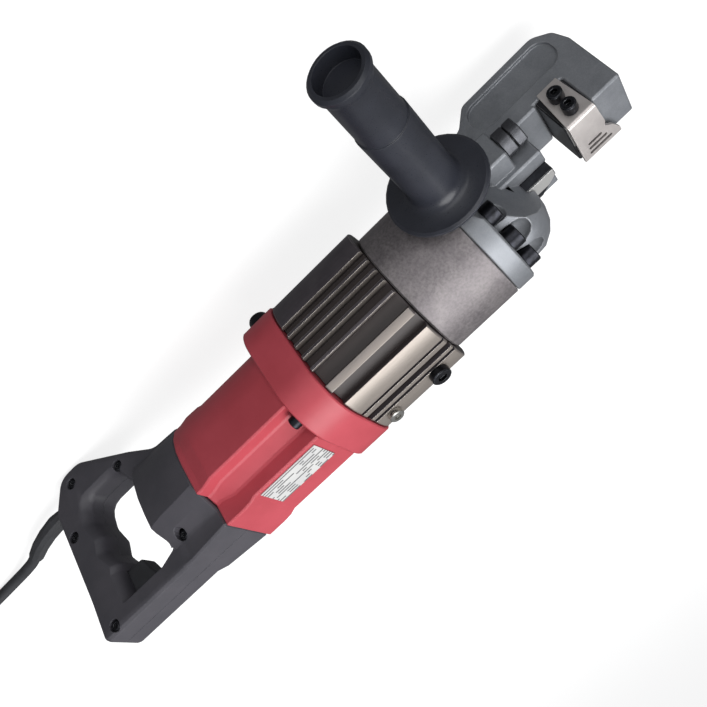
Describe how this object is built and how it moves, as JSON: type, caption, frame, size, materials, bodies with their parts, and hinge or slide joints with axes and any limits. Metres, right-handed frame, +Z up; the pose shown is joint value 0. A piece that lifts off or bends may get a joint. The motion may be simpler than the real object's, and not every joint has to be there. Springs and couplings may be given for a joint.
{
  "type": "rebar cutter",
  "caption": "Hand-held electro-hydraulic reinforcing-bar cutter: C-shaped jaw, ram and cutter blocks, finned pump casing, motor, D-handle with trigger, side handle, mains lead.",
  "frame": {"origin": "centre of the footprint of the tool without its lead, on the surface it stands on", "axes": "+X along the ram towards the jaw, +Y to the side the side handle screws into, +Z up, out of the open jaw"},
  "size_m": [0.6814, 0.2066, 0.1294],
  "materials": {
    "gunmetal": "dark phosphated forging, satin",
    "satin_steel": "turned, satin",
    "bright_aluminium": "finned casting, machined crests",
    "black_oxide": "black oxide, low gloss",
    "bright_steel": "ground bright",
    "red_shell": "moulded, low gloss",
    "black_shell": "moulded, fine grain",
    "black_rubber": "matt flexible PVC or rubber",
    "copper": "copper windings and bars",
    "brass": "bright pins",
    "white_label": null
  },
  "bodies": {
    "tool_body": {"head_frame": "gunmetal", "guard_plate": "satin_steel", "cylinder_housing": "satin_steel", "pump_block": "satin_steel", "bearing_plate": "satin_steel", "stator": "satin_steel", "pump_casing": "bright_aluminium", "cutter_screw_1": "black_oxide", "cutter_screw_2": "black_oxide", "cutter_fixed": "black_oxide", "stopper_nut": "black_oxide", "head_bolt_1": "black_oxide", "head_bolt_2": "black_oxide", "head_bolt_3": "black_oxide", "head_bolt_4": "black_oxide", "head_bolt_5": "black_oxide", "head_bolt_6": "black_oxide", "socket_plug": "black_oxide", "housing_screw_1": "black_oxide", "housing_screw_2": "black_oxide", "collar_bolt_1": "black_oxide", "collar_bolt_2": "black_oxide", "handle_screw_1": "black_oxide", "handle_screw_2": "black_oxide", "handle_screw_3": "black_oxide", "handle_screw_4": "black_oxide", "handle_screw_5": "black_oxide", "return_spring": "bright_steel", "vent_screw": "bright_steel", "motor_bearing": "bright_steel", "trigger_spring": "bright_steel", "handle_stud": "bright_steel", "collar": "red_shell", "motor_housing": "red_shell", "handle_left": "black_shell", "handle_right": "black_shell", "side_handle": "black_shell", "switch_body": "black_rubber", "carbon_brush_1": "black_rubber", "carbon_brush_2": "black_rubber", "strain_relief": "black_rubber", "cord_tube": "black_rubber", "cord_coil": "black_rubber", "cord_tail": "black_rubber", "plug_body": "black_rubber", "plug_pins": "brass", "label_plate": "white_label"},
    "ram_and_cutter": {"ram": "bright_steel", "cutter_moving": "black_oxide"},
    "trigger_lever": {"trigger": "black_rubber"},
    "armature": {"armature_shaft": "bright_steel", "rotor_core": "copper", "commutator": "copper", "cooling_fan": "black_shell"},
    "gear_shaft": {"eccentric_shaft": "bright_steel", "reduction_gear": "satin_steel"},
    "plunger": {"pump_plunger": "bright_steel"},
    "stopper": {"stopper_bolt": "black_oxide"}
  },
  "joints": [
    {"name": "ram_stroke", "type": "slide", "parent": "tool_body", "child": "ram_and_cutter", "axis": [1, 0, 0], "range_m": [0, 0.016], "stiffness_N_per_m": 1500, "springref_m": -0.01, "deforming": ["return_spring"]},
    {"name": "trigger_pull", "type": "slide", "parent": "tool_body", "child": "trigger_lever", "axis": [-1, 0, 0], "range_m": [0, 0.006], "stiffness_N_per_m": 400, "springref_m": -0.004, "deforming": ["trigger_spring"]},
    {"name": "armature_spin", "type": "hinge", "parent": "tool_body", "child": "armature", "pos_m": [0.056, -0.05835, 0.0795], "axis": [1, 0, 0], "continuous": true},
    {"name": "gear_spin", "type": "hinge", "parent": "tool_body", "child": "gear_shaft", "pos_m": [0.056, -0.05835, 0.061], "axis": [1, 0, 0], "continuous": true},
    {"name": "pump_plunger_stroke", "type": "slide", "parent": "tool_body", "child": "plunger", "axis": [0, 0, 1], "range_m": [0, 0.002]},
    {"name": "stopper_adjust", "type": "slide", "parent": "tool_body", "child": "stopper", "axis": [1, 0, 0], "range_m": [0, 0.01]}
  ],
  "couplings": [
    {"joint": "gear_spin", "follows": "armature_spin", "ratio": -0.27778}
  ]
}
